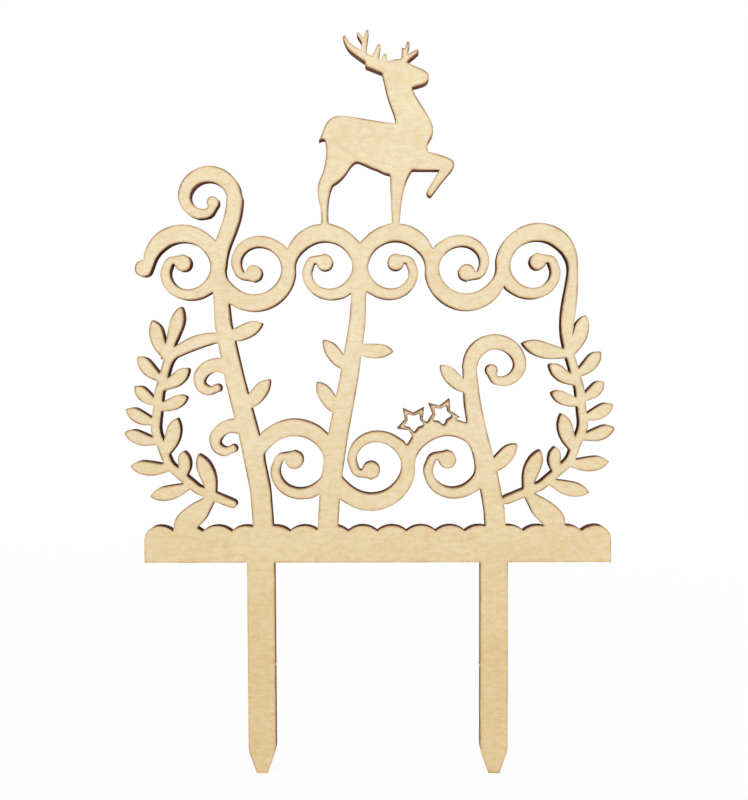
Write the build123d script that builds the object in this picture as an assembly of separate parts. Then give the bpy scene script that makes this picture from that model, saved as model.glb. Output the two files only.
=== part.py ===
from build123d import *
import math
import os

# Cake topper, cut by laser from one sheet of three-ply plywood: a reindeer on a running scroll,
# scroll vines and two stars, between two leafy branches, on a scalloped bar with two stakes.
# The pieces are the three plies of the sheet, which all have the same outline.
# Origin: middle of the bar's underside and of the sheet. X runs along the bar, Z is up,
# and the front looks towards -Y. Lengths are millimetres, angles are degrees.

# Sheet
VENEER_THICKNESS = 0.6
CORE_THICKNESS = 1.8

# Bar with its row of scallops
BAR_LENGTH = 113.6
BAR_HEIGHT = 9.0
SCALLOP_RISE = 1.35
SCALLOP_COUNT = 16

# Stakes that go into the cake
STAKE_SPACING = 56.9
STAKE_WIDTH = 6.7
STAKE_LENGTH = 52.2
STAKE_POINT_LENGTH = 5.6
STAKE_TIP_WIDTH = 2.7

# Leafy branches, mirrored about the motif's axis, the right one a little higher
MOTIF_OFFSET = -1.9
MOTIF_WIDTH = 118.8
BRANCH_WIDTH = 26.4
BRANCH_HEIGHT = 53.3
BRANCH_STEM_WIDTH = 2.1
LINK_WIDTH = 3.6
LEAF_WIDTH = 1.9
RIGHT_BRANCH_LIFT = 0.8

# Reindeer
DEER_WIDTH = 32.8
DEER_HEIGHT = 46.4
HOOF_DEPTH = 0.8

# Scroll vines
ROW_OFFSET = -2.0
ROW_LIFT = 62.5
LOWER_ROW_LIFT = 14.8
LOWER_CURL_LIFT = 20.0
UPPER_CURL_LIFT = 34.8
CURL_RADIUS = 4.5
ARCH_RISE = 4.6
ARCH_ANGLE = 32
VINE_WIDTH = 4.3
TRUNK_WIDTH = 4.9
CROOK_RADIUS = 6.2
LEFT_CROOK_RISE = 16.5
LEFT_CROOK_LEAN = 4.1
RIGHT_CROOK_LIFT = 38.5
RIGHT_CROOK_LEAN = 6.6
SPROUT_LENGTH = 9.6

# Stars
STAR_RADIUS = 4.4
STAR_HOLE_RADIUS = 2.6
STAR_POINTS = 5

# Turns of the scrolls, and the short straight cuts that the laser makes its curves from
HELD_TURN = 180
SCROLL_TURN = 450
CROOK_TURN = 320
CURL_TURN = 270
CUT_TURN = 30
STEM_CUTS = 5
BALL_CUTS = 8
CAP_ANGLES = (45, 0, -45)
HALVINGS = 24
ROW_SCROLLS = 3

# Shares of a ribbon's full width, from its start to its end
SCROLL_SHARES = (0.50, 1.00, 1.00, 0.86, 0.74, 0.64, 0.56, 0.50)
CROOK_SHARES = (0.82, 0.92, 0.88, 0.78, 0.68, 0.58, 0.50)
CURL_SHARES = (0.50, 0.76, 0.82, 0.76, 0.68, 0.58, 0.50)
TRUNK_SHARES = (1.00, 1.00, 0.96, 0.84, 0.64)

# Scroll: the radius that it winds in to and the ball on its end, against its radius
EYE_SHARE = 0.27
BALL_SHARE = 0.50

# Where the vines stand, in shares of the bar's length, and their sprouts: share of the way up and angle
ROOT_SHARES = (-0.242, -0.108, 0.256)
LEFT_SPROUT_SHARES = ((0.50, 44), (0.76, 18))
MIDDLE_SPROUT_SHARES = ((0.48, 130), (0.64, 134), (0.72, -8))
RIGHT_SPROUT_SHARES = ((0.42, 40), (0.87, 140))

# Leaf: what its length adds to its width, the curves of its upper and lower side, as shares of the
# length and of half the width, and where a side is cut, closer together towards the tip
LEAF_SPREAD_SHARE = 0.19
LEAF_UPPER_SHARES = ((0.0, 0.30), (0.40, 0.20), (0.70, 1.75))
LEAF_LOWER_SHARES = ((-0.10, 0.55), (0.20, 1.50), (0.75, 1.90))
LEAF_CUT_SHARES = (0.0, 0.40, 0.70, 0.90, 1.0)

# Stars: notches against their points, how far each stands clear of the crest against its hole, and
# the angles of its place on the crest and of its first point
STAR_NOTCH_SHARE = 0.52
STAR_HOLE_NOTCH_SHARE = 0.62
STAR_SEAT_SHARES = (0.66, 0.28)
STAR_ANGLES = ((128, 56), (96, 66))

# Branch: its stem from the lower end up, then each leaf as its root along the stem and its tip,
# in shares of the branch's width, from the outer edge inwards, and of its height above the bar.
# A leaf's root stands to its own side of the stem's middle by a share of the stem's width.
LEAF_SEAT_SHARE = 0.25
STEM_SHARES = ((0.99, 0.10), (0.67, 0.165), (0.45, 0.25), (0.30, 0.385), (0.285, 0.50), (0.42, 0.775))
LEAF_SHARES = (
    (1.00, 0.27, 0.94),
    (0.88, 0.13, 0.775),
    (0.84, 0.60, 0.72),
    (0.75, 0.10, 0.64),
    (0.73, 0.58, 0.59),
    (0.65, 0.015, 0.535),
    (0.55, 0.00, 0.43),
    (0.47, 0.485, 0.495),
    (0.40, 0.05, 0.275),
    (0.31, 0.54, 0.345),
    (0.26, 0.23, 0.135),
    (0.13, 0.68, 0.33),
    (0.13, 0.43, -0.06),
)
LEFT_TOP_LEAF_SHARES = (1.00, 0.54, 1.00)
RIGHT_TOP_LEAF_SHARES = (1.00, 0.85, 0.815)

# Reindeer: the runs of its outline, each smooth and meeting the next at a corner, in shares of its box
HIND_HOOF_SHARE = 0.044
FORE_HOOF_SHARE = 0.565
BACK_SHARES = (
    (0.006, 0.437), (0.044, 0.502), (0.086, 0.549), (0.142, 0.565), (0.199, 0.563), (0.364, 0.545),
    (0.572, 0.525),
)
NAPE_SHARES = ((0.572, 0.525), (0.549, 0.588), (0.508, 0.668), (0.482, 0.747), (0.470, 0.780))
FACE_SHARES = (
    (0.470, 0.780), (0.508, 0.838), (0.560, 0.848), (0.611, 0.846), (0.660, 0.831), (0.714, 0.812),
    (0.786, 0.789), (0.812, 0.768), (0.806, 0.741), (0.772, 0.724), (0.684, 0.706),
)
CHEST_SHARES = (
    (0.684, 0.706), (0.714, 0.664), (0.817, 0.545), (0.842, 0.495), (0.837, 0.462), (0.806, 0.430),
    (0.806, 0.379),
)
KNEE_SHARES = (
    (0.806, 0.379), (0.878, 0.365), (0.961, 0.344), (0.996, 0.322), (0.985, 0.290), (0.951, 0.263),
    (0.878, 0.199), (0.837, 0.160),
)
RAISED_HOOF_SHARES = ((0.837, 0.160), (0.815, 0.150), (0.796, 0.164), (0.802, 0.188))
RAISED_SHIN_SHARES = ((0.802, 0.188), (0.888, 0.286))
RAISED_LEG_SHARES = ((0.888, 0.286), (0.688, 0.287))
FORELEG_FRONT_SHARES = ((0.688, 0.287), (0.652, 0.242), (0.621, 0.170), (0.606, 0.097), (0.592, 0.0))
FORE_SOLE_SHARES = ((0.592, 0.0), (0.541, 0.0))
FORELEG_BACK_SHARES = ((0.541, 0.0), (0.525, 0.264))
BELLY_SHARES = ((0.525, 0.264), (0.446, 0.285), (0.297, 0.327), (0.271, 0.320))
THIGH_SHARES = ((0.271, 0.320), (0.230, 0.278), (0.178, 0.238), (0.106, 0.214))
HIND_SHIN_SHARES = ((0.106, 0.214), (0.092, 0.190), (0.069, 0.055), (0.073, 0.0))
HIND_SOLE_SHARES = ((0.073, 0.0), (0.015, 0.0))
HOCK_SHARES = (
    (0.015, 0.0), (0.008, 0.119), (0.0, 0.220), (0.029, 0.264), (0.049, 0.314), (0.060, 0.372),
    (0.049, 0.444),
)
TAIL_SHARES = ((0.049, 0.444), (0.030, 0.446), (0.006, 0.437))
REINDEER_SHARES = (
    BACK_SHARES, NAPE_SHARES, FACE_SHARES, CHEST_SHARES, KNEE_SHARES, RAISED_HOOF_SHARES,
    RAISED_SHIN_SHARES, RAISED_LEG_SHARES, FORELEG_FRONT_SHARES, FORE_SOLE_SHARES,
    FORELEG_BACK_SHARES, BELLY_SHARES, THIGH_SHARES, HIND_SHIN_SHARES, HIND_SOLE_SHARES,
    HOCK_SHARES, TAIL_SHARES,
)
# Its ear, then its antlers: the points of each in shares of the box, and widths against the box's width
HORN_SHARES = (
    (((0.510, 0.802), (0.430, 0.816), (0.366, 0.836)), (0.085, 0.062, 0.030)),
    (((0.500, 0.812), (0.415, 0.836), (0.364, 0.855), (0.302, 0.882), (0.240, 0.910), (0.196, 0.962)),
     (0.070, 0.066, 0.058, 0.052, 0.040, 0.024)),
    (((0.330, 0.870), (0.343, 0.935), (0.361, 0.990)), (0.045, 0.036, 0.024)),
    (((0.338, 0.938), (0.316, 0.961), (0.296, 0.980)), (0.028, 0.025, 0.020)),
    (((0.415, 0.840), (0.434, 0.890), (0.447, 0.918)), (0.060, 0.042, 0.026)),
    (((0.487, 0.835), (0.489, 0.858), (0.491, 0.868)), (0.048, 0.040, 0.030)),
    (((0.611, 0.830), (0.634, 0.872), (0.652, 0.910), (0.660, 0.930)), (0.062, 0.052, 0.034, 0.024)),
    (((0.630, 0.843), (0.682, 0.870), (0.726, 0.890)), (0.042, 0.036, 0.024)),
)

# Worked out from the sizes above
SHEET_THICKNESS = CORE_THICKNESS + 2 * VENEER_THICKNESS
ROW_PITCH = DEER_WIDTH * (FORE_HOOF_SHARE - HIND_HOOF_SHARE)
ROW_MIDDLE = Vector(MOTIF_OFFSET + ROW_OFFSET, BAR_HEIGHT + ROW_LIFT)
CREST_SHARE = 90 / SCROLL_TURN
UP = Vector(0, 1)
RIGHT = Vector(1, 0)


def toward(angle):
    return Vector(math.cos(math.radians(angle)), math.sin(math.radians(angle)))


def part_way(values, share):
    """Value at a share of the way along a row of evenly spaced values."""
    place = share * (len(values) - 1)
    first = min(int(place), len(values) - 2)
    return values[first] + (values[first + 1] - values[first]) * (place - first)


def scaled(shares, size):
    return [share * size for share in shares]


def crest_reach(radius):
    """Distance from a scroll's centre to the outside of its crest."""
    return radius + part_way(SCROLL_SHARES, CREST_SHARE) * VINE_WIDTH / 2


def ribbon(line, widths, count):
    """Round-ended ribbon along a line, with its widths spread evenly and a count of cuts a side."""
    left, right = [], []
    for place in range(count + 1):
        share = place / count
        along = line % share
        half = Vector(-along.Y, along.X) * (part_way(widths, share) / 2)
        left.append(line @ share + half)
        right.append(line @ share - half)
    tips = []
    for share, width, ahead in ((1, widths[-1], line % 1), (0, widths[0], -(line % 0))):
        side = Vector(-ahead.Y, ahead.X)
        for angle in CAP_ANGLES:
            tips.append(line @ share + (side * toward(angle).Y + ahead * toward(angle).X) * (width / 2))
    end_tip, start_tip = tips[:len(CAP_ANGLES)], tips[len(CAP_ANGLES):]
    return make_face(Polyline(*left, *end_tip, *reversed(right), *start_tip, close=True))


def ball(radius, end, aside, width):
    """Ball on the end of a scroll of a radius, to one side and flush with the vine's other side."""
    diameter = radius * BALL_SHARE
    return Pos(end + aside.normalized() * ((diameter - width) / 2)) * RegularPolygon(diameter / 2, BALL_CUTS)


def scroll(centre, radius, start, sense, turn, shares):
    """Vine that goes half way round a circle, then winds in to a ball. Sense 1 is anticlockwise."""
    count = round(turn / CUT_TURN)
    points = []
    for place in range(count + 1):
        swept = turn * place / count
        wound = max(0, swept - HELD_TURN) / (turn - HELD_TURN)
        reach = radius * (1 - (1 - EYE_SHARE) * wound)
        points.append(centre + toward(start + sense * swept) * reach)
    widths = scaled(shares, VINE_WIDTH)
    eye = ball(radius, points[-1], centre - points[-1], widths[-1])
    return [ribbon(Spline(points), widths, count), eye]


def rising(start, end):
    """Line that leaves its start and reaches its end upright."""
    return Spline([start, end], tangents=(UP, UP))


def at_height(line, height):
    """Point of a rising line at a height, found by halving."""
    low, high = 0.0, 1.0
    for _ in range(HALVINGS):
        middle = (low + high) / 2
        if (line @ middle).Y < height:
            low = middle
        else:
            high = middle
    return line @ low


def leaf(base, tip, upward):
    """Pointed leaf, narrow at its base, most of all on the side that faces up its stem."""
    along = tip - base
    width = LEAF_WIDTH + LEAF_SPREAD_SHARE * along.length
    across = Vector(-along.Y, along.X).normalized() * (width / 2)
    if across.dot(upward) < 0:
        across = -across
    sides = []
    for side, shares in ((across, LEAF_UPPER_SHARES), (-across, LEAF_LOWER_SHARES)):
        curve = [base + along * ahead + side * aside for ahead, aside in shares]
        sides.append([Bezier(*curve, tip) @ share for share in LEAF_CUT_SHARES])
    return make_face(Polyline(*sides[0], *sides[1][-2::-1], close=True))


def bar():
    """Bar with a row of scallops on top, whose end ones round off its corners."""
    pitch = BAR_LENGTH / SCALLOP_COUNT
    end = BAR_LENGTH / 2
    shoulder = BAR_HEIGHT - pitch / 2
    valley = BAR_HEIGHT - SCALLOP_RISE
    edges = [Line((end, shoulder), (end, 0)), Line((end, 0), (-end, 0)), Line((-end, 0), (-end, shoulder))]
    for side in (-1, 1):
        crest = Vector(side * (end - pitch / 2), BAR_HEIGHT)
        edges.append(TangentArc(crest, (side * end, shoulder), tangent=(side, 0)))
        edges.append(TangentArc(crest, (side * (end - pitch), valley), tangent=(-side, 0)))
    for place in range(1, SCALLOP_COUNT - 1):
        left = -end + place * pitch
        edges.append(ThreePointArc((left, valley), (left + pitch / 2, BAR_HEIGHT), (left + pitch, valley)))
    return make_face(edges)


def stake(side):
    """Stake from inside the bar down to a blunt point."""
    half, tip_half = STAKE_WIDTH / 2, STAKE_TIP_WIDTH / 2
    shoulder = STAKE_POINT_LENGTH - STAKE_LENGTH
    right_side = [(half, BAR_HEIGHT / 2), (half, shoulder), (tip_half, -STAKE_LENGTH)]
    left_side = [(-x, z) for x, z in reversed(right_side)]
    return Pos(side * STAKE_SPACING / 2, 0) * make_face(Polyline(*right_side, *left_side, close=True))


def branch(side, lift, leaves):
    """Stem line and faces of the left (-1) or right (1) branch."""
    edge = MOTIF_OFFSET + side * MOTIF_WIDTH / 2

    def place(inwards, upwards):
        return Vector(edge - side * inwards * BRANCH_WIDTH, BAR_HEIGHT + lift + upwards * BRANCH_HEIGHT)

    stem = Spline([place(*shares) for shares in STEM_SHARES])
    faces = [ribbon(stem, (BRANCH_STEM_WIDTH, BRANCH_STEM_WIDTH), STEM_CUTS)]
    for root, inwards, upwards in leaves:
        tip = place(inwards, upwards)
        along = stem % root
        aside = Vector(-along.Y, along.X) * (BRANCH_STEM_WIDTH * LEAF_SEAT_SHARE)
        if aside.dot(tip - stem @ root) < 0:
            aside = -aside
        faces.append(leaf(stem @ root + aside, tip, along))
    return stem, faces


def running_scroll():
    """Row of scrolls that go over and under in turn, out from a middle pair that both go over."""
    faces = []
    for side in (-1, 1):
        for place in range(ROW_SCROLLS):
            centre = ROW_MIDDLE + Vector(side * (place * ROW_PITCH + ROW_PITCH / 2), 0)
            sense = side if place % 2 == 0 else -side
            faces += scroll(centre, ROW_PITCH / 2, 90 - side * 90, sense, SCROLL_TURN, SCROLL_SHARES)
    left_end = ROW_MIDDLE - Vector(ROW_SCROLLS * ROW_PITCH, 0)
    return [*faces, ball(ROW_PITCH / 2, left_end, left_end - ROW_MIDDLE, SCROLL_SHARES[0] * VINE_WIDTH)]


def vines(left_stem, right_stem):
    """Three vines from the bar with their scrolls and sprouts, and the links to the two branches."""
    roots = [Vector(share * BAR_LENGTH, BAR_HEIGHT / 2) for share in ROOT_SHARES]
    junction = ROW_MIDDLE - Vector((ROW_SCROLLS - 1) * ROW_PITCH, 0)
    crook_foot = Vector(roots[2].X - RIGHT_CROOK_LEAN, BAR_HEIGHT + RIGHT_CROOK_LIFT)
    left = rising(roots[0], junction)
    middle = rising(roots[1], ROW_MIDDLE)
    right = rising(roots[2], crook_foot)
    trunks = (left, middle, right)
    faces = []
    for trunk, sprouts in zip(trunks, (LEFT_SPROUT_SHARES, MIDDLE_SPROUT_SHARES, RIGHT_SPROUT_SHARES)):
        faces.append(ribbon(trunk, scaled(TRUNK_SHARES, TRUNK_WIDTH), STEM_CUTS))
        for share, angle in sprouts:
            tip = trunk @ share + toward(angle) * SPROUT_LENGTH
            faces.append(leaf(trunk @ share, tip, trunk % share))

    # Crooks: one at the top of the right vine, one above the left vine's end in the running scroll
    faces += scroll(crook_foot + Vector(CROOK_RADIUS, 0), CROOK_RADIUS, 180, -1, CROOK_TURN, CROOK_SHARES)
    crook_top = junction + Vector(LEFT_CROOK_LEAN, LEFT_CROOK_RISE)
    crook_stem = rising(junction, crook_top)
    faces.append(ribbon(crook_stem, scaled(CROOK_SHARES[:2], VINE_WIDTH), STEM_CUTS))
    faces += scroll(crook_top - Vector(CROOK_RADIUS, 0), CROOK_RADIUS, 0, 1, CROOK_TURN, CROOK_SHARES)

    # Curls left of the left vine
    for lift in (LOWER_CURL_LIFT, UPPER_CURL_LIFT):
        centre = at_height(left, BAR_HEIGHT + lift) - Vector(CURL_RADIUS, 0)
        faces += scroll(centre, CURL_RADIUS, 0, 1, CURL_TURN, CURL_SHARES)

    # Lower row: over from the left vine to the middle one, then under and over to the right one
    height = BAR_HEIGHT + LOWER_ROW_LIFT
    stations = [at_height(trunk, height) for trunk in trunks]
    halfway = (stations[1] + stations[2]) / 2
    bays = ((stations[0], stations[1], -1), (stations[1], halfway, 1), (halfway, stations[2], -1))
    for start, end, sense in bays:
        radius = (end.X - start.X) / 2
        faces += scroll(start + Vector(radius, 0), radius, 180, sense, SCROLL_TURN, SCROLL_SHARES)

    # Links: from the left branch over into its vine, from the right one up into the running scroll
    landing = at_height(left, (left_stem @ 1).Y + ARCH_RISE)
    arch = Spline([left_stem @ 1, landing], tangents=(toward(ARCH_ANGLE), RIGHT))
    row_end = ROW_MIDDLE + Vector(ROW_SCROLLS * ROW_PITCH, 0)
    link = Spline([right_stem @ 1, row_end], tangents=(right_stem % 1, UP))
    for line in (arch, link):
        faces.append(ribbon(line, (BRANCH_STEM_WIDTH, LINK_WIDTH, BRANCH_STEM_WIDTH), STEM_CUTS))
    return faces, start + Vector(radius, 0), radius


def reindeer():
    """Reindeer whose two standing hooves sink into the crests of the running scroll's middle pair."""
    floor = ROW_MIDDLE.Y + crest_reach(ROW_PITCH / 2) - HOOF_DEPTH
    edge = ROW_MIDDLE.X - ROW_PITCH / 2 - HIND_HOOF_SHARE * DEER_WIDTH

    def place(shares):
        return Vector(edge + shares[0] * DEER_WIDTH, floor + shares[1] * DEER_HEIGHT)

    points = []
    for run in REINDEER_SHARES:
        line = Spline([place(shares) for shares in run])
        count = 2 * (len(run) - 1)
        points += [line @ (cut / count) for cut in range(count)]
    faces = [make_face(Polyline(*points, close=True))]
    for tine, widths in HORN_SHARES:
        line = Spline([place(shares) for shares in tine])
        faces.append(ribbon(line, scaled(widths, DEER_WIDTH), len(tine) - 1))
    return faces


def star(centre, radius, notch_share, first):
    """Five-pointed star with a point in the direction of the first angle."""
    points = []
    for place in range(2 * STAR_POINTS):
        reach = radius if place % 2 == 0 else radius * notch_share
        points.append(centre + toward(first + place * 180 / STAR_POINTS) * reach)
    return make_face(Polyline(*points, close=True))


def outline():
    """Whole outline of the topper as one flat face, with its height along Y."""
    left_stem, left_branch = branch(-1, 0, [*LEAF_SHARES, LEFT_TOP_LEAF_SHARES])
    right_stem, right_branch = branch(1, RIGHT_BRANCH_LIFT, [*LEAF_SHARES, RIGHT_TOP_LEAF_SHARES])
    vine_faces, crest_centre, crest_radius = vines(left_stem, right_stem)
    stars, holes = [], []
    for share, (bearing, first) in zip(STAR_SEAT_SHARES, STAR_ANGLES):
        seat = crest_reach(crest_radius) + STAR_HOLE_RADIUS * share
        centre = crest_centre + toward(bearing) * seat
        stars.append(star(centre, STAR_RADIUS, STAR_NOTCH_SHARE, first))
        holes.append(star(centre, STAR_HOLE_RADIUS, STAR_HOLE_NOTCH_SHARE, first))
    faces = [bar(), stake(-1), stake(1), *left_branch, *right_branch]
    faces += [*running_scroll(), *vine_faces, *reindeer(), *stars]
    return Sketch() + faces - holes


def ply(face, front, thickness):
    """Layer of the sheet from its front plane back."""
    return extrude(Plane.XZ.offset(-front) * face, -thickness)


os.makedirs("parts", exist_ok=True)
topper = outline()
front = -SHEET_THICKNESS / 2
plies = {
    "front_veneer": ply(topper, front, VENEER_THICKNESS),
    "core_ply": ply(topper, front + VENEER_THICKNESS, CORE_THICKNESS),
    "back_veneer": ply(topper, front + VENEER_THICKNESS + CORE_THICKNESS, VENEER_THICKNESS),
}
for name, solid in plies.items():
    export_step(solid, f"parts/{name}.step")
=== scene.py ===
# %% [markdown]
# # A laser-cut cake topper in Blender
# The real object is a flat sheet of three-ply wood, about 3 mm thick, cut right through by a laser.
# The solids come from CAD, one for each ply, and they are loaded here as a fixed frame in metres.
# Everything that Blender adds is in the same frame: X along the bar, Z up, and the front towards -Y.

# %% Load the frame
import math
import bmesh
import bpy
from mathutils import Matrix, Vector


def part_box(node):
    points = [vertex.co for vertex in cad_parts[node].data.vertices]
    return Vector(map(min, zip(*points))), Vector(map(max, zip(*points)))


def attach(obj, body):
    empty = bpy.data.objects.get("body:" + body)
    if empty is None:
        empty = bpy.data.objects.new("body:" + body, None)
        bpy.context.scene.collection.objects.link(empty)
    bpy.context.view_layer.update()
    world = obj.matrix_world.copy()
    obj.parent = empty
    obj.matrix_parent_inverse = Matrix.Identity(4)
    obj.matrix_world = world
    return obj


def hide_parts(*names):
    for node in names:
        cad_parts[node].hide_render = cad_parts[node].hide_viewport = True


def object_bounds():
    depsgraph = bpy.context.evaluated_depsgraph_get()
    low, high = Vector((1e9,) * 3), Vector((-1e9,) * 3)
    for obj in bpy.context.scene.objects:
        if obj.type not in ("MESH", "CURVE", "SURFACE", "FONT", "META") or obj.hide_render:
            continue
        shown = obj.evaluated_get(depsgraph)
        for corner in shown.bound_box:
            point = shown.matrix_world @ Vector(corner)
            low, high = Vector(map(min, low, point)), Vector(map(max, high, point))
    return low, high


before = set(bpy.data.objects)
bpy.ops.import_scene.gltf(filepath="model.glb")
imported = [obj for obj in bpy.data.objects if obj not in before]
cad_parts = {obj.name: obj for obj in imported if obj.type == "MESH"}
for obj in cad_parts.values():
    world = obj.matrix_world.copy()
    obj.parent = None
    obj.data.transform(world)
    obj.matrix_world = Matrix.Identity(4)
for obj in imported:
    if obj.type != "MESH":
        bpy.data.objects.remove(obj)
cad_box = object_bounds()
MM = 0.001
print("plies:", sorted(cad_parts), "height in mm:", round((cad_box[1].z - cad_box[0].z) / MM, 1))

# %% [markdown]
# ## Camera
# The photograph looks at the sheet almost squarely, from close by and a little above its middle.
# The cut edges tell this: low down the tops of the leaves show their edge, and high up the
# undersides do. So the camera stands level with that place and tips down a few degrees. Blender
# lays the sensor's width along the picture's long side, which is its height here.

# %% Camera
CAMERA_PLACE = Vector((1.13, -226.5, 49.0)) * MM
CAMERA_PITCH, CAMERA_YAW, CAMERA_ROLL = -2.39, 0.46, 0.20
FRAME_HEIGHT = 800
FOCAL_PIXELS = 931.5
CLIP_START = 10 * MM


def put_in_scene(name, data):
    """New object at the origin, linked to the scene."""
    item = bpy.data.objects.new(name, data)
    bpy.context.scene.collection.objects.link(item)
    return item


camera_data = bpy.data.cameras.new("photo_camera")
camera_data.lens = FOCAL_PIXELS / FRAME_HEIGHT * camera_data.sensor_width
camera_data.clip_start = CLIP_START
camera = put_in_scene("photo_camera", camera_data)
turn = Matrix.Rotation(math.radians(CAMERA_YAW), 4, "Z")
turn @= Matrix.Rotation(math.radians(CAMERA_PITCH), 4, "X")
turn @= Matrix.Rotation(math.radians(CAMERA_ROLL), 4, "Y")
upright = Matrix.Rotation(math.radians(90), 4, "X")
camera.matrix_world = Matrix.Translation(CAMERA_PLACE) @ turn @ upright
bpy.context.scene.camera = camera
print("camera lens in mm:", round(camera_data.lens, 1))

# %% [markdown]
# ## The outline of a ply
# The CAD outline is made of short straight cuts, and a close look at a scroll would show them. One
# way to smooth them is a subdivision surface, but that would also melt the leaf tips and the star
# points. So each ply is cut afresh from the outline of its front, which is kept as a wire. The CAD
# mesh is loose triangles and stays as it is, so this happens to a merged copy. Each point of the
# wire keeps the angle of wood at it, which is less than half a turn where the outline points outwards.

# %% Outline as a wire
WELD = 0.0005 * MM
STRAIGHT_ANGLE = math.radians(0.5)
FACING = 0.5


def is_front(face):
    return face.normal.y < -FACING


def front_wire(node):
    """Merged copy of a ply, stripped to the outline of its front."""
    shape = bmesh.new()
    shape.from_mesh(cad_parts[node].data)
    bmesh.ops.remove_doubles(shape, verts=shape.verts, dist=WELD)
    wood_angle = shape.verts.layers.float.new("wood_angle")
    for vert in shape.verts:
        vert[wood_angle] = sum(loop.calc_angle() for loop in vert.link_loops if is_front(loop.face))
    inner = [edge for edge in shape.edges if sum(map(is_front, edge.link_faces)) != 1]
    bmesh.ops.delete(shape, geom=list(shape.faces), context="FACES_ONLY")
    bmesh.ops.delete(shape, geom=inner, context="EDGES")
    bmesh.ops.dissolve_limit(shape, angle_limit=STRAIGHT_ANGLE, verts=shape.verts, edges=shape.edges)
    return shape


sample = front_wire("core_ply")
print("points on the core's outline:", len(sample.verts))
sample.free()

# %% [markdown]
# ## Points that are moved
# At a few places the CAD cut is simpler than the real one, and single points of the wire are moved
# there. A row finds its point by its place along X and Z, and says how far it goes across and up,
# all in mm.

# %% Points that are moved
POINT_REACH = 0.2 * MM
POINT_MOVES = {
    "gap between the left branch's top leaves": (
        (-51.65, 56.57, 0.65, -3.5), (-50.42, 59.56, 0.5, -0.3),
    ),
    "outer side of the left foot leaf": (
        (-45.75, 12.64, -1.2, 0.8), (-48.85, 9.80, -0.55, 0.9),
    ),
    "outer side of the right foot leaf": (
        (41.95, 13.44, 1.1, 0.8), (45.05, 10.60, 0.45, 0.9),
    ),
    "shoulder of the front antler": (
        (6.77, 123.15, 0.2, 0.2), (5.95, 121.73, 0.3, 1.8), (5.45, 120.75, 0.7, 0.2),
    ),
    "step behind the ear": (
        (-2.35, 120.04, -0.25, -0.4), (-2.12, 119.75, -0.28, -0.55),
    ),
    "peak between belly and hind leg": (
        (-9.22, 91.70, -0.15, 0.1), (-8.15, 92.36, -0.35, 0.25), (-7.23, 93.21, -0.35, 0.35),
        (-6.43, 94.18, -0.4, 0.4), (-5.70, 95.20, -0.45, 0.5), (-5.00, 96.24, 0.05, 0.54),
        (-3.55, 96.62, -0.5, 0.08), (-2.09, 96.26, 0.0, -0.5), (-0.75, 95.54, 0.0, -0.34),
    ),
}


def move_points(shape):
    """Set the points of a wire that are simpler in CAD than on the real cut."""
    for rows in POINT_MOVES.values():
        for x, z, across, up in rows:
            place = Vector((x, z)) * MM
            nearest = min(shape.verts, key=lambda vert: (vert.co.xz - place).length)
            assert (nearest.co.xz - place).length < POINT_REACH, "no point of the outline is there"
            bmesh.ops.translate(shape, verts=[nearest], vec=Vector((across, 0, up)) * MM)


print("points set by eye:", {name: len(rows) for name, rows in POINT_MOVES.items()})

# %% [markdown]
# ## Curves, blunt turns and corners
# A vertex bevel turns a bend of the wire into an arc, but not every bend should become one. A slight
# bend belongs to a curve when a neighbour bends too, towards the same side, and their arcs almost meet.
# A slight bend that stands alone, such as a stake's shoulder, is only eased, and so is a blunt corner
# that points outwards, such as a scroll's last turn. A real corner bends more and stays sharp, and so
# do the stake tips, which have to push into a cake. Only at the stars, where the heat gathers, the
# inner corners are melted round.

# %% Sort the bends of a wire
SLIGHTEST_BEND = math.radians(3)
LONE_BEND = math.radians(33)
CURVE_BEND = math.radians(50)
BLUNT_BEND = math.radians(80)
LONE_REACH = 1.2 * MM
MELT_REACH = 0.45 * MM
STAKES_TOP = 0.0
STARS_PLACE = Vector((12.4, 0.0, 35.0)) * MM
STARS_REACH = 12.0 * MM


def bends_of(shape, limit):
    """Points of a wire that bend by less than a limit, each with the side that it bends to."""
    inward = {}
    for vert in shape.verts:
        first, second = ((edge.other_vert(vert).co - vert.co).normalized() for edge in vert.link_edges)
        if SLIGHTEST_BEND < math.pi - first.angle(second) < limit:
            inward[vert] = first + second
    return inward


def in_curves(shape, inward):
    """Those bends that have another beside them, towards the same side."""
    found = {}
    for edge in shape.edges:
        start, end = edge.verts
        if start in inward and end in inward:
            along = end.co - start.co
            if along.cross(inward[start]).y * along.cross(inward[end]).y > 0:
                found.update({start: True, end: True})
    return found


def eased_points(shape, slight, curves):
    """Points that are rounded by themselves, each with its reach: lone, blunt and melted ones."""
    wood_angle = shape.verts.layers.float["wood_angle"]
    eased = [(vert, LONE_REACH) for vert in bends_of(shape, LONE_BEND) if vert not in curves]
    blunt = bends_of(shape, BLUNT_BEND)
    for vert in blunt:
        if vert.co.z > STAKES_TOP and vert not in slight and vert[wood_angle] < math.pi:
            eased.append((vert, LONE_REACH))
    for vert in bends_of(shape, math.pi):
        at_stars = (vert.co - STARS_PLACE).xz.length < STARS_REACH
        if at_stars and vert not in blunt and vert[wood_angle] > math.pi:
            eased.append((vert, MELT_REACH))
    return eased


print("a curve's bends are under", round(math.degrees(CURVE_BEND)), "degrees")

# %% [markdown]
# ## The plies, cut afresh
# Each wire is rounded and filled, holes and all, and the filled sheet is extruded to the ply's
# thickness. The points that are rounded by themselves come first, one by one, because each has its
# own reach. The curves follow together, with a share of each edge. The filled area is compared with
# the CAD front, where a hole that was missed would show at once. Faces to the front and back take a
# ply's first material, and the cut edges its second.

# %% Round a wire
CURVE_PERCENT = 42
ROUND_SEGMENTS = 4


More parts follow.
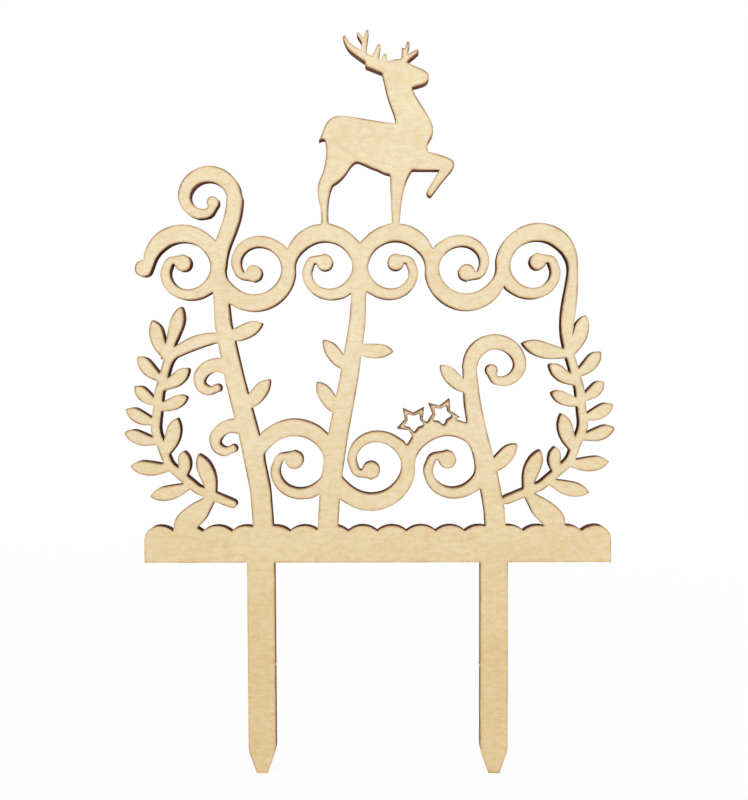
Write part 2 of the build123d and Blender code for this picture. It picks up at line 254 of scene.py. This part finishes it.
def rounded(shape, bends, offset, offset_type):
    bmesh.ops.bevel(
        shape, geom=bends, offset=offset, offset_type=offset_type, affect="VERTICES",
        segments=ROUND_SEGMENTS, profile=0.5, material=-1, clamp_overlap=True,
    )


def rounded_wire(node):
    shape = front_wire(node)
    move_points(shape)
    slight = bends_of(shape, CURVE_BEND)
    curves = in_curves(shape, slight)
    eased = eased_points(shape, slight, curves)
    for vert, reach in eased:
        shortest = min(edge.calc_length() for edge in vert.link_edges)
        rounded(shape, [vert], min(reach, shortest * CURVE_PERCENT / 100), "OFFSET")
    rounded(shape, list(curves), CURVE_PERCENT, "PERCENT")
    print(node, "bends in curves:", len(curves), "eased points:", len(eased))
    return shape


print("edges in the arc of a bend:", ROUND_SEGMENTS)

# %% Cut each ply
AREA_CHANGE = 0.02
SQUARE_CM = 1e-4
SHARP_ANGLE = math.radians(30)
FACE_SLOT, EDGE_SLOT = 0, 1


def fill_front(shape, node):
    bmesh.ops.triangle_fill(shape, use_beauty=True, edges=shape.edges, normal=(0, -1, 0))
    filled = sum(face.calc_area() for face in shape.faces)
    in_cad = sum(face.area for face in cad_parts[node].data.polygons if is_front(face))
    assert abs(filled / in_cad - 1) < AREA_CHANGE, "the wire isn't filled as the CAD front is"
    print(node, "front in square cm:", round(filled / SQUARE_CM, 2), "in CAD:", round(in_cad / SQUARE_CM, 2))


def cut_ply(node):
    shape = rounded_wire(node)
    fill_front(shape, node)
    low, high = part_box(node)
    pushed = bmesh.ops.extrude_face_region(shape, geom=list(shape.faces))["geom"]
    moved = [part for part in pushed if isinstance(part, bmesh.types.BMVert)]
    bmesh.ops.translate(shape, verts=moved, vec=(0, high.y - low.y, 0))
    bmesh.ops.recalc_face_normals(shape, faces=shape.faces)
    for face in shape.faces:
        face.smooth = True
        face.material_index = FACE_SLOT if abs(face.normal.y) > FACING else EDGE_SLOT
    mesh = bpy.data.meshes.new(node + "_cut")
    shape.to_mesh(mesh)
    shape.free()
    mesh.set_sharp_from_angle(angle=SHARP_ANGLE)
    piece = put_in_scene(node + "_cut", mesh)
    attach(piece, "root")
    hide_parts(node)
    return piece


plies = {node: cut_ply(node) for node in ("front_veneer", "core_ply", "back_veneer")}
print("faces:", {piece.name: len(piece.data.polygons) for piece in plies.values()})

# %% [markdown]
# ## Node helpers
# A material is a graph of nodes. These few helpers add a node and link its sockets in one line,
# so that the graphs below read as recipes. Colours are written as the eye sees them, from 0 to 255,
# and turned into the linear values that Blender works with.

# %% Node helpers


def tone(red, green, blue):
    """Linear colour of an sRGB one, by the formula of that standard."""
    linear = []
    for value in (red, green, blue):
        share = value / 255
        linear.append(share / 12.92 if share <= 0.04045 else ((share + 0.055) / 1.055) ** 2.4)
    return (*linear, 1.0)


def fill_socket(tree, socket, value):
    """Link another node's output to an input, or set the input to a plain value."""
    if isinstance(value, bpy.types.NodeSocket):
        tree.links.new(value, socket)
    else:
        socket.default_value = value


def add(tree, kind, settings=None, **links):
    """New node, with properties from settings. Links fill its inputs by name, or by number as _0."""
    node = tree.nodes.new(kind)
    for name, value in (settings or {}).items():
        setattr(node, name, value)
    for name, value in links.items():
        place = int(name[1:]) if name[0] == "_" else name.replace("_", " ")
        fill_socket(tree, node.inputs[place], value)
    return node


print("mid grey in linear light:", round(tone(128, 128, 128)[0], 3))

# %% Nodes that are used often


def blend(tree, share, first, second, how="MIX"):
    """Colour between two others, or with MULTIPLY the first one tinted by the second."""
    settings = {"data_type": "RGBA", "blend_type": how}
    return add(tree, "ShaderNodeMix", settings, _0=share, _6=first, _7=second).outputs[2]


def sums(tree, operation, first, second):
    return add(tree, "ShaderNodeMath", {"operation": operation}, _0=first, _1=second).outputs[0]


def spread(tree, value, low, high, start=0.0, end=1.0):
    """Value mapped from a low to a high limit, clamped."""
    return add(
        tree, "ShaderNodeMapRange", {"interpolation_type": "SMOOTHSTEP"},
        _0=value, _1=low, _2=high, _3=start, _4=end,
    ).outputs[0]


def distance(tree, place, point):
    settings = {"operation": "DISTANCE"}
    return add(tree, "ShaderNodeVectorMath", settings, _0=place, _1=point).outputs[1]


print("helpers for nodes:", [helper.__name__ for helper in (blend, sums, spread, distance)])

# %% [markdown]
# ## Wood materials
# Every wood finish here starts and ends the same way: it reads the object's own coordinates, and it
# ends as a colour, a roughness, a faint sheen and a fine relief. What differs lies between the two.
# Noise draws most of it. Dividing the coordinates by a size stretches the noise to that size.

# %% Material helpers
NOISE_ROUGHNESS = 0.55


def started(name):
    """New material, with its node tree, its shader and its Object coordinates."""
    material = bpy.data.materials.new(name)
    material.use_nodes = True
    tree = material.node_tree
    place = add(tree, "ShaderNodeTexCoord").outputs["Object"]
    return material, tree, tree.nodes["Principled BSDF"], place


def finish_surface(tree, shader, colour, roughness, sheen, relief, strength, depth):
    tree.links.new(colour, shader.inputs["Base Color"])
    tree.links.new(roughness, shader.inputs["Roughness"])
    shader.inputs["Specular IOR Level"].default_value = sheen
    bump = add(tree, "ShaderNodeBump", Strength=strength, Distance=depth, Height=relief)
    tree.links.new(bump.outputs[0], shader.inputs["Normal"])


def stretched_noise(tree, place, size, detail, seed):
    """Noise whose spots have a size in metres along X, Y and Z."""
    divided = add(tree, "ShaderNodeVectorMath", {"operation": "DIVIDE"}, _0=place, _1=size).outputs[0]
    noise = add(
        tree, "ShaderNodeTexNoise", {"noise_dimensions": "4D"},
        Vector=divided, W=seed, Scale=1.0, Detail=detail, Roughness=NOISE_ROUGHNESS,
    )
    return noise.outputs[0]


def group_of(name, inputs, outputs):
    """Empty shader group with named value or vector inputs and value outputs."""
    tree = bpy.data.node_groups.new(name, "ShaderNodeTree")
    for title, kind in inputs:
        tree.interface.new_socket(title, in_out="INPUT", socket_type=kind)
    for title in outputs:
        tree.interface.new_socket(title, in_out="OUTPUT", socket_type="NodeSocketFloat")
    return tree, tree.nodes.new("NodeGroupInput").outputs, tree.nodes.new("NodeGroupOutput").inputs


print("plain CAD materials:", [material.name for material in bpy.data.materials])

# %% [markdown]
# ## Grain
# Pale plywood veneer has fine fibres along the sheet: long faint streaks, slow cloudy changes of
# tone, warm flecks a few millimetres long, and tiny dark pores like pencil dashes. All four are
# stretched noise, in one group. The front and back veneers use that group with other values, so they
# match without being copies.

# %% Grain group
VALUE, VECTOR = "NodeSocketFloat", "NodeSocketVector"
ANY_DEPTH = 1.0
CLOUD_SIZE = 22 * MM, ANY_DEPTH, 9 * MM
FLECK_SIZE = 2.2 * MM, ANY_DEPTH, 1.2 * MM
PORE_SIZE = 0.9 * MM, ANY_DEPTH, 0.4 * MM

grain, given, out = group_of(
    "Veneer grain",
    (("Place", VECTOR), ("Streak Length", VALUE), ("Streak Width", VALUE), ("Seed", VALUE)),
    ("Streaks", "Clouds", "Flecks", "Pores"),
)
streak_size = add(
    grain, "ShaderNodeCombineXYZ", X=given["Streak Length"], Y=ANY_DEPTH, Z=given["Streak Width"],
).outputs[0]
for title, size, detail, low, high in (
    ("Streaks", streak_size, 5.0, 0.30, 0.70),
    ("Clouds", CLOUD_SIZE, 3.0, 0.32, 0.68),
    ("Flecks", FLECK_SIZE, 5.0, 0.38, 0.66),
    ("Pores", PORE_SIZE, 1.0, 0.52, 0.74),
):
    noise = stretched_noise(grain, given["Place"], size, detail, given["Seed"])
    grain.links.new(spread(grain, noise, low, high), out[title])
    print("grain group draws:", title)

# %% [markdown]
# ## Veneer faces
# The face is bare sanded wood, cream high up and a little darker towards the stakes, tinted by its
# fibres. The laser toasts a thin line of it along every cut. A Bevel node finds that line: it asks
# how the surface turns within about a millimetre, and answers with a bent normal only close to an
# edge. Noise makes the toasted line darker at some places, as the heat does where the beam slows
# down. The long straight cuts of the stakes and of the bar's underside are quick, and toast the face
# least. The stars have the smallest cuts, so the heat gathers there and browns them most. One small
# brown spot on the left stake is where the beam started.

# %% Bare wood
SHADE_HEIGHTS = 50 * MM, -30 * MM
STREAK_SHARE, CLOUD_SHARE, FLECK_SHARE, PORE_SHARE = 0.13, 0.20, 0.41, 0.30


def bare_wood(tree, height, veins, tones):
    """A little darker towards the stakes, and tinted by its fibres, flecks and pores."""
    body = blend(tree, spread(tree, height, *SHADE_HEIGHTS), tones["cream"], tones["wood"])
    mottle = sums(tree, "MULTIPLY", veins["Streaks"], STREAK_SHARE)
    mottle = sums(tree, "ADD", mottle, sums(tree, "MULTIPLY", veins["Clouds"], CLOUD_SHARE))
    body = blend(tree, mottle, body, tones["fibre tint"], "MULTIPLY")
    flecks = sums(tree, "MULTIPLY", veins["Flecks"], FLECK_SHARE)
    body = blend(tree, flecks, body, tones["fleck tint"], "MULTIPLY")
    pores = sums(tree, "MULTIPLY", veins["Pores"], PORE_SHARE)
    return blend(tree, pores, body, tones["fibre tint"], "MULTIPLY")


print("most that fibres tint the wood:", round(STREAK_SHARE + CLOUD_SHARE, 2))

# %% Toasted line along the cuts
RIM_RADIUS = 1.1 * MM
RIM_SAMPLES = 8
HEAT_SIZE = 7 * MM, ANY_DEPTH, 7 * MM
HEAT_DETAIL = 3.0
HEAT_RANGE, HEAT_GAINS = (0.36, 0.66), (1.25, 2.6)
QUICK_CUT_HEIGHTS, QUICK_CUT_GAINS = (3 * MM, 16 * MM), (0.6, 1.0)
STARS_RANGE, STARS_GAINS = (STARS_REACH, STARS_REACH / 2), (1.0, 1.7)


def rim_heat(tree, place, height, seed):
    """0 away from the cuts, and 1 or more at their hottest places."""
    bent = add(tree, "ShaderNodeBevel", {"samples": RIM_SAMPLES}, Radius=RIM_RADIUS).outputs[0]
    flat = add(tree, "ShaderNodeNewGeometry").outputs["True Normal"]
    facing = add(tree, "ShaderNodeVectorMath", {"operation": "DOT_PRODUCT"}, _0=bent, _1=flat).outputs[1]
    turned = sums(tree, "SUBTRACT", 1.0, facing)
    rim = add(tree, "ShaderNodeMath", {"operation": "SQRT"}, _0=turned).outputs[0]
    slow_beam = stretched_noise(tree, place, HEAT_SIZE, HEAT_DETAIL, seed)
    from_stars = distance(tree, place, STARS_PLACE)
    rim = sums(tree, "MULTIPLY", rim, spread(tree, slow_beam, *HEAT_RANGE, *HEAT_GAINS))
    rim = sums(tree, "MULTIPLY", rim, spread(tree, height, *QUICK_CUT_HEIGHTS, *QUICK_CUT_GAINS))
    return sums(tree, "MULTIPLY", rim, spread(tree, from_stars, *STARS_RANGE, *STARS_GAINS))


print("toasted line in mm:", round(RIM_RADIUS / MM, 2))

# %% Veneer face materials
STREAK_LENGTH, STREAK_WIDTH = 6 * MM, 0.5 * MM
TOAST_RANGE, SCORCH_RANGE = (0.05, 1.05), (0.70, 1.35)
START_PLACE = Vector((-25.4, -1.5, -24.3)) * MM
START_REACH = 0.9 * MM
START_SHARE = 0.6
FACE_ROUGHNESS = 0.58, 0.72
FACE_SHEEN = 0.25
FIBRE_RELIEF, FIBRE_DEPTH = 0.25, 0.06 * MM


def veneer_face(name, seed, tones):
    material, tree, shader, place = started(name)
    height = add(tree, "ShaderNodeSeparateXYZ", Vector=place).outputs["Z"]
    veins = add(
        tree, "ShaderNodeGroup", {"node_tree": grain},
        Place=place, Streak_Length=STREAK_LENGTH, Streak_Width=STREAK_WIDTH, Seed=seed,
    ).outputs
    body = bare_wood(tree, height, veins, tones)
    rim = rim_heat(tree, place, height, seed)
    body = blend(tree, spread(tree, rim, *TOAST_RANGE), body, tones["toast"])
    body = blend(tree, spread(tree, rim, *SCORCH_RANGE), body, tones["scorch"])
    start = spread(tree, distance(tree, place, START_PLACE), START_REACH, 0.0, 0.0, START_SHARE)
    body = blend(tree, start, body, tones["toast"])
    rough = spread(tree, veins["Streaks"], 0.0, 1.0, *FACE_ROUGHNESS)
    raised = sums(tree, "SUBTRACT", veins["Streaks"], veins["Pores"])
    finish_surface(tree, shader, body, rough, FACE_SHEEN, raised, FIBRE_RELIEF, FIBRE_DEPTH)
    return material


front_face = veneer_face("front_veneer_face", 2.0, {
    "cream": tone(239, 227, 195), "wood": tone(230, 209, 166),
    "fibre tint": tone(233, 211, 181), "fleck tint": tone(244, 223, 177),
    "toast": tone(190, 141, 92), "scorch": tone(112, 74, 50),
})
back_face = veneer_face("back_veneer_face", 9.0, {
    "cream": tone(237, 224, 192), "wood": tone(229, 207, 163),
    "fibre tint": tone(230, 208, 178), "fleck tint": tone(240, 219, 173),
    "toast": tone(180, 130, 84), "scorch": tone(98, 64, 44),
})
print("veneer faces:", front_face.name, back_face.name)

# %% [markdown]
# ## Charred edges
# The beam leaves the cut edge dark brown, with fine ridges across the sheet where it pulsed. The
# core's fibres run the other way, so its edge chars a little differently, and the glue between the
# plies shows as a darker line. One group draws the ridges, the patches of lighter char and the glue
# lines. On the reindeer and the stakes the edge is blended towards a lighter, redder brown.

# %% Char group
RIDGE_SIZE = 0.35 * MM, 6 * MM, 0.35 * MM
PATCH_SIZE = 9 * MM, 20 * MM, 9 * MM
CHAR_DETAIL = 2.0
RIDGE_RANGE, PATCH_RANGE = (0.32, 0.68), (0.40, 0.72)
CORE_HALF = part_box("core_ply")[1].y
GLUE_REACH = 0.12 * MM

char, given, out = group_of(
    "Laser char", (("Place", VECTOR), ("Seed", VALUE)), ("Ridges", "Patches", "Glue"),
)
ridges = stretched_noise(char, given["Place"], RIDGE_SIZE, CHAR_DETAIL, given["Seed"])
patches = stretched_noise(char, given["Place"], PATCH_SIZE, CHAR_DETAIL, given["Seed"])
depth = add(char, "ShaderNodeSeparateXYZ", Vector=given["Place"]).outputs["Y"]
from_middle = add(char, "ShaderNodeMath", {"operation": "ABSOLUTE"}, _0=depth).outputs[0]
past_core = sums(char, "SUBTRACT", from_middle, CORE_HALF)
from_glue = add(char, "ShaderNodeMath", {"operation": "ABSOLUTE"}, _0=past_core).outputs[0]
char.links.new(spread(char, ridges, *RIDGE_RANGE), out["Ridges"])
char.links.new(spread(char, patches, *PATCH_RANGE), out["Patches"])
char.links.new(spread(char, from_glue, GLUE_REACH, 0.0), out["Glue"])
print("glue lines in mm from the middle:", round(CORE_HALF / MM, 2))

# %% Charred edge materials
REDDER_EDGE_HEIGHTS = 72 * MM, 104 * MM
STAKE_CHAR_HEIGHTS = 2 * MM, -6 * MM
PATCH_SHARE, REDDER_EDGE_SHARE, GLUE_SHARE = 0.7, 0.75, 0.75
GLUE_TONE = tone(36, 24, 20)
CHAR_ROUGHNESS = 0.9, 0.7
CHAR_SHEEN = 0.02
RIDGE_RELIEF, RIDGE_DEPTH = 0.6, 0.08 * MM


def charred_edge(name, seed, tones):
    material, tree, shader, place = started(name)
    burn = add(tree, "ShaderNodeGroup", {"node_tree": char}, Place=place, Seed=seed).outputs
    body = blend(tree, burn["Ridges"], tones["dark"], tones["brown"])
    body = blend(tree, sums(tree, "MULTIPLY", burn["Patches"], PATCH_SHARE), body, tones["toasted"])
    height = add(tree, "ShaderNodeSeparateXYZ", Vector=place).outputs["Z"]
    # A lighter, redder brown is blended in by height, on the reindeer and on the stakes.
    on_reindeer = spread(tree, height, *REDDER_EDGE_HEIGHTS)
    on_stakes = spread(tree, height, *STAKE_CHAR_HEIGHTS)
    redder_share = sums(tree, "MULTIPLY", sums(tree, "MAXIMUM", on_reindeer, on_stakes), REDDER_EDGE_SHARE)
    body = blend(tree, redder_share, body, tones["russet"])
    body = blend(tree, sums(tree, "MULTIPLY", burn["Glue"], GLUE_SHARE), body, GLUE_TONE)
    rough = spread(tree, burn["Ridges"], 0.0, 1.0, *CHAR_ROUGHNESS)
    finish_surface(tree, shader, body, rough, CHAR_SHEEN, burn["Ridges"], RIDGE_RELIEF, RIDGE_DEPTH)
    return material


veneer_edge = charred_edge("charred_veneer_edge", 4.0, {
    "dark": tone(64, 35, 28), "brown": tone(100, 60, 45),
    "toasted": tone(150, 98, 68), "russet": tone(160, 114, 96),
})
core_edge = charred_edge("charred_core_edge", 6.0, {
    "dark": tone(46, 26, 22), "brown": tone(76, 45, 36),
    "toasted": tone(110, 68, 50), "russet": tone(126, 86, 76),
})
for node, face, edge in (
    ("front_veneer", front_face, veneer_edge),
    ("core_ply", core_edge, core_edge),
    ("back_veneer", back_face, veneer_edge),
):
    plies[node].data.materials.append(face)
    plies[node].data.materials.append(edge)
    print(node, [slot.name for slot in plies[node].data.materials])

# %% [markdown]
# ## Torn stubs
# While the sheet is cut, thin bridges hold the topper in it, and it is snapped out afterwards. One
# bridge was on each stake's facing edge, and a pale torn stub of it is left. It starts as a cube
# nearly as deep as the sheet. Fractal subdivision roughens it like broken fibres, and its outer end
# is squeezed, as it tears to a ridge. It goes in by a hair, so no gap shows at the charred edge.

# %% Torn wood
TORN_SIZE = 1.2 * MM, 0.25 * MM, 0.2 * MM
TORN_DETAIL, TORN_SEED = 3.0, 5.0
TORN_RANGE = 0.36, 0.66
TORN_ROUGHNESS_RANGE, TORN_ROUGHNESS = (0.3, 0.7), (0.75, 0.95)
TORN_SHEEN = 0.15
TORN_RELIEF, TORN_DEPTH = 0.5, 0.06 * MM

torn, tree, shader, place = started("torn_stub_wood")
fibres = stretched_noise(tree, place, TORN_SIZE, TORN_DETAIL, TORN_SEED)
body = blend(tree, spread(tree, fibres, *TORN_RANGE), tone(238, 216, 174), tone(219, 180, 130))
rough = spread(tree, fibres, *TORN_ROUGHNESS_RANGE, *TORN_ROUGHNESS)
finish_surface(tree, shader, body, rough, TORN_SHEEN, fibres, TORN_RELIEF, TORN_DEPTH)
print("stub material:", torn.name)

# %% Torn stubs on the stakes
STUB_HEIGHTS = {"left": -25.2 * MM, "right": -25.6 * MM}
STUB_SIZE = Vector((0.45, 2.6, 0.80)) * MM
STUB_SINK = 0.25 * MM
STUB_CUTS = 4
STUB_ROUGHNESS = 0.22
STUB_SQUEEZE = 1, 0.9, 0.6


def facing_edge(side, height):
    """X of a stake's edge that faces the other stake, at a height."""
    mesh = plies["core_ply"].data
    crossings = []
    for edge in mesh.edges:
        ends = (mesh.vertices[index].co for index in edge.vertices)
        low, high = sorted(ends, key=lambda end: end.z)
        if low.z < height < high.z and low.x * side > 0:
            crossings.append(low.x + (high.x - low.x) * (height - low.z) / (high.z - low.z))
    return min(crossings, key=abs)


for seed, (name, height) in enumerate(STUB_HEIGHTS.items()):
    side = -1 if name == "left" else 1
    edge_x = facing_edge(side, height)
    middle_x = edge_x + side * (STUB_SINK - STUB_SIZE.x / 2)
    shape = bmesh.new()
    bmesh.ops.create_cube(shape, size=1)
    bmesh.ops.subdivide_edges(
        shape, edges=shape.edges, cuts=STUB_CUTS, use_grid_fill=True, fractal=STUB_ROUGHNESS, seed=seed,
    )
    outer = [vert for vert in shape.verts if vert.co.x * side < 0]
    bmesh.ops.scale(shape, verts=outer, vec=STUB_SQUEEZE)
    bmesh.ops.scale(shape, verts=shape.verts, vec=STUB_SIZE)
    bmesh.ops.translate(shape, verts=shape.verts, vec=(middle_x, 0, height))
    mesh = bpy.data.meshes.new(name + "_stake_stub")
    shape.to_mesh(mesh)
    shape.free()
    stub = put_in_scene(name + "_stake_stub", mesh)
    mesh.materials.append(torn)
    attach(stub, "root")
    print(stub.name, "edge at x in mm:", round(edge_x / MM, 2), "faces:", len(mesh.polygons))

# %% [markdown]
# ## Floor and world
# The floor lies under the stake tips and is plain white. To the camera it is mostly its own white,
# with a share of real light left in near the object so that the soft shadow still shows. The world is
# white to the camera and dimmer as a lamp.

# %% Floor and world
WHITE = (1, 1, 1, 1)
FLOOR_SIZE = 6.0
FLOOR_PAINT = (0.9, 0.9, 0.9, 1)
FLOOR_ROUGHNESS = 0.9
OWN_WHITE = 0.92
WHITE_REACH = 0.10, 0.45
WORLD_LIGHT = 0.38


def sees_background(tree):
    """1 for a ray from the camera, a reflection or a transmission, and 0 for light on the object."""
    ray = add(tree, "ShaderNodeLightPath").outputs
    seen = sums(tree, "MAXIMUM", ray["Is Camera Ray"], ray["Is Glossy Ray"])
    return sums(tree, "MAXIMUM", seen, ray["Is Transmission Ray"])


floor_mesh = bpy.data.meshes.new("floor")
shape = bmesh.new()
bmesh.ops.create_grid(shape, x_segments=1, y_segments=1, size=FLOOR_SIZE / 2)
bmesh.ops.translate(shape, verts=shape.verts, vec=(0, 0, cad_box[0].z))
shape.to_mesh(floor_mesh)
shape.free()
floor = put_in_scene("floor", floor_mesh)

paper, tree, matt, place = started("white_floor")
matt.inputs["Base Color"].default_value = FLOOR_PAINT
matt.inputs["Roughness"].default_value = FLOOR_ROUGHNESS
glow = add(tree, "ShaderNodeEmission", Color=WHITE, Strength=1.0)
away = add(tree, "ShaderNodeVectorMath", {"operation": "LENGTH"}, _0=place).outputs[1]
share = sums(tree, "MULTIPLY", sees_background(tree), spread(tree, away, *WHITE_REACH, OWN_WHITE, 1.0))
mixed = add(tree, "ShaderNodeMixShader", _0=share, _1=matt.outputs[0], _2=glow.outputs[0])
tree.links.new(mixed.outputs[0], tree.nodes["Material Output"].inputs["Surface"])
floor_mesh.materials.append(paper)

world = bpy.data.worlds.new("white_studio")
world.use_nodes = True
bpy.context.scene.world = world
tree = world.node_tree
strength = spread(tree, sees_background(tree), 0.0, 1.0, WORLD_LIGHT, 1.0)
backdrop = tree.nodes["Background"]
backdrop.inputs["Color"].default_value = WHITE
tree.links.new(strength, backdrop.inputs["Strength"])
print("floor at z in mm:", round(cad_box[0].z / MM, 1), "world light:", WORLD_LIGHT)

# %% [markdown]
# ## Lamps
# One large lamp stands above and to the left, and others fill from the right and from behind. They
# are only as strong as it takes for a colour to render about as it is written.

# %% Lamps
AIM = Vector((0, 0, 0.04))
for name, place, size, watts in (
    ("key_lamp", Vector((-0.42, -0.75, 0.80)), 0.55, 6.5),
    ("fill_lamp", Vector((0.70, -0.60, 0.25)), 0.60, 1.9),
    ("back_lamp", Vector((0.30, 0.80, 0.60)), 0.60, 5.0),
):
    lamp = bpy.data.lights.new(name, "AREA")
    lamp.size = size
    lamp.energy = watts
    holder = put_in_scene(name, lamp)
    holder.location = place
    holder.rotation_euler = (AIM - place).to_track_quat("-Z", "Y").to_euler()
    print(name, "watts:", watts)
bpy.context.scene.view_settings.view_transform = "Standard"
